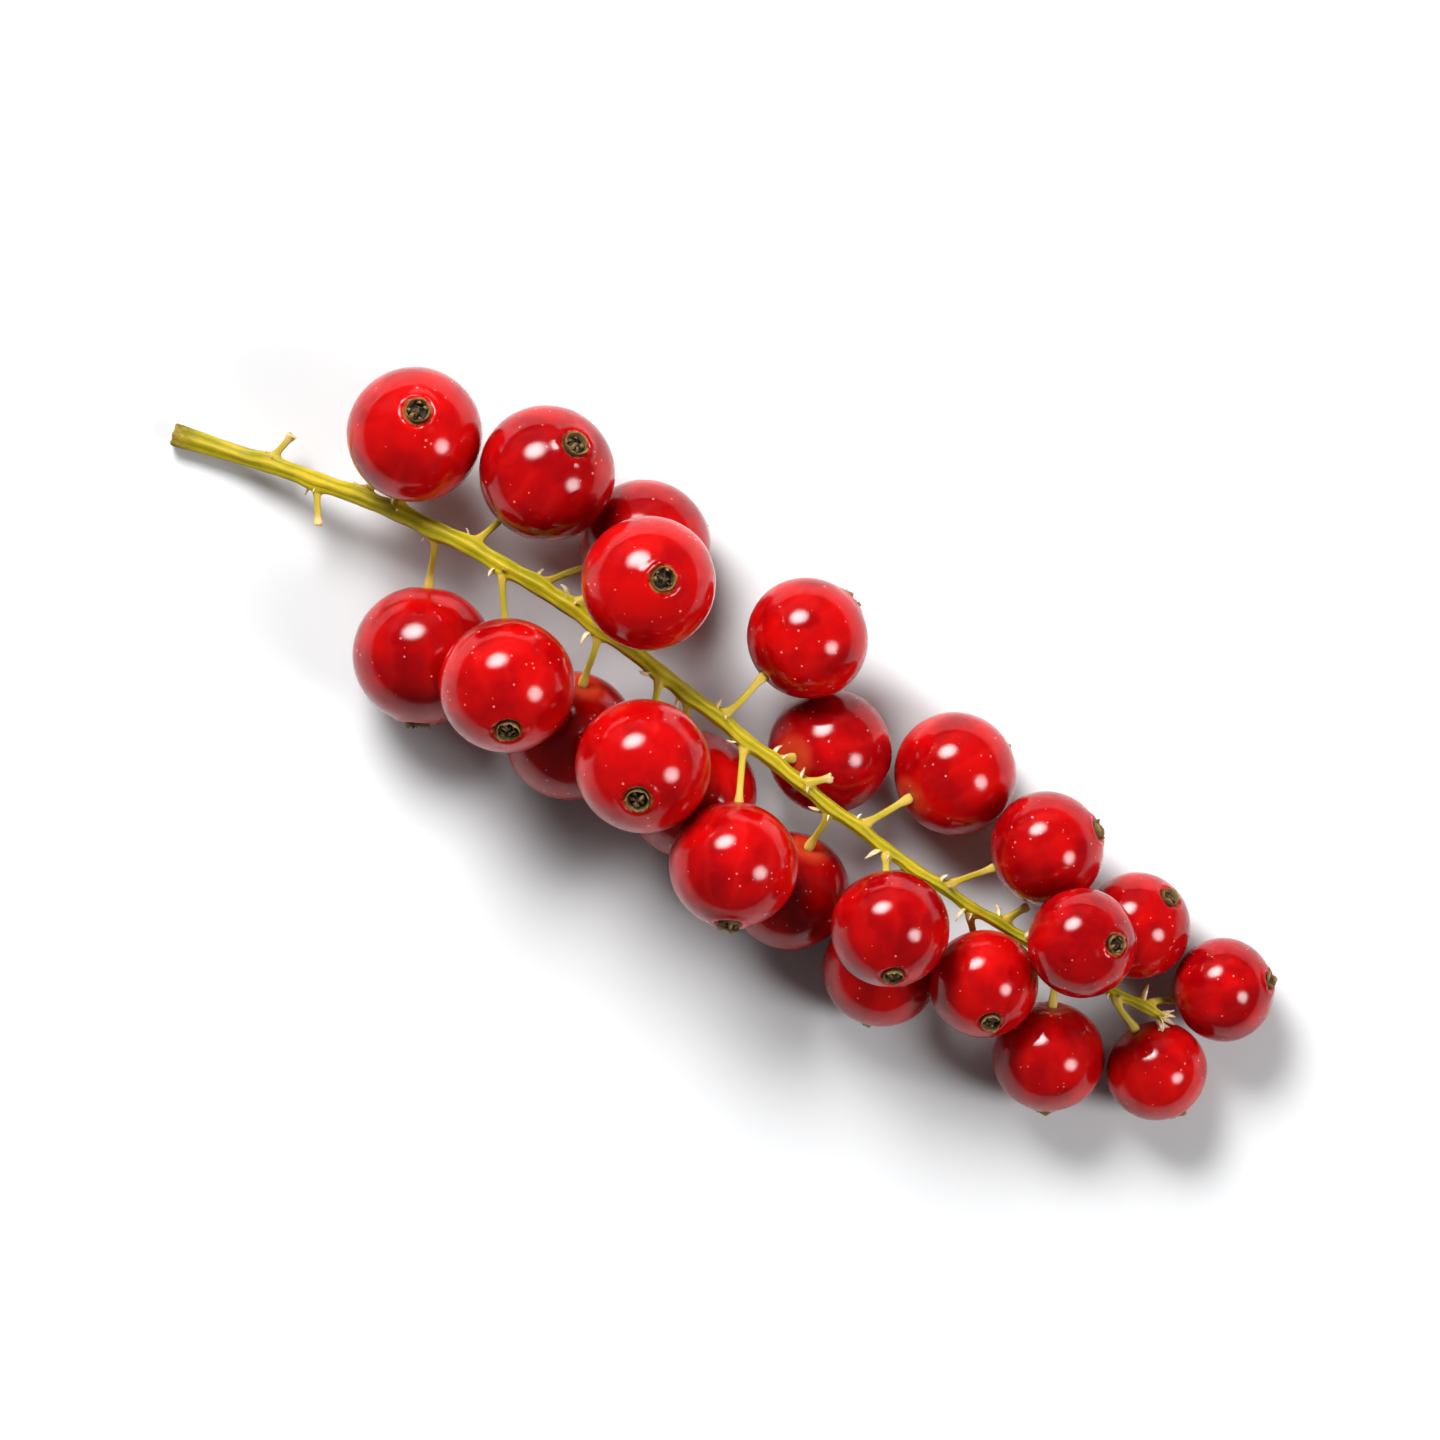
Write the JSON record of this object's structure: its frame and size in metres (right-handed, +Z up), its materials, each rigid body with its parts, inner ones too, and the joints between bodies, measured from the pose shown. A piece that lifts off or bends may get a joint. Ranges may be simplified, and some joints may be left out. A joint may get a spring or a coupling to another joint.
{
  "type": "sprig of redcurrants",
  "caption": "Sprig of ripe redcurrants laid down: round glossy red berries on short side stalks along a thin green stalk, each berry ending in a dried brown flower.",
  "frame": {"origin": "under the middle of the whole sprig, on the surface it rests on", "axes": "+X runs along the stalk from its cut end to its tip, +Z points up from the surface"},
  "size_m": [0.0853, 0.0261, 0.0182],
  "materials": {
    "stalk_green": "soft yellow-green plant stalk with a light sheen",
    "berry_red": "thin, tight, very glossy, see-through red skin over juicy flesh",
    "dried_brown": "dry, crumpled, papery brown"
  },
  "bodies": {
    "root": {"stalk": "stalk_green", "berry_01": "berry_red", "berry_02": "berry_red", "berry_03": "berry_red", "berry_04": "berry_red", "berry_05": "berry_red", "berry_06": "berry_red", "berry_07": "berry_red", "berry_08": "berry_red", "berry_09": "berry_red", "berry_10": "berry_red", "berry_11": "berry_red", "berry_12": "berry_red", "berry_13": "berry_red", "berry_14": "berry_red", "berry_15": "berry_red", "berry_16": "berry_red", "berry_17": "berry_red", "berry_18": "berry_red", "berry_19": "berry_red", "berry_20": "berry_red", "berry_21": "berry_red", "berry_22": "berry_red", "berry_23": "berry_red", "dried_flower_01": "dried_brown", "dried_flower_02": "dried_brown", "dried_flower_03": "dried_brown", "dried_flower_04": "dried_brown", "dried_flower_05": "dried_brown", "dried_flower_06": "dried_brown", "dried_flower_07": "dried_brown", "dried_flower_08": "dried_brown", "dried_flower_09": "dried_brown", "dried_flower_10": "dried_brown", "dried_flower_11": "dried_brown", "dried_flower_12": "dried_brown", "dried_flower_13": "dried_brown", "dried_flower_14": "dried_brown", "dried_flower_15": "dried_brown", "dried_flower_16": "dried_brown", "dried_flower_17": "dried_brown", "dried_flower_18": "dried_brown", "dried_flower_19": "dried_brown", "dried_flower_20": "dried_brown", "dried_flower_21": "dried_brown", "dried_flower_22": "dried_brown", "dried_flower_23": "dried_brown"}
  },
  "joints": []
}
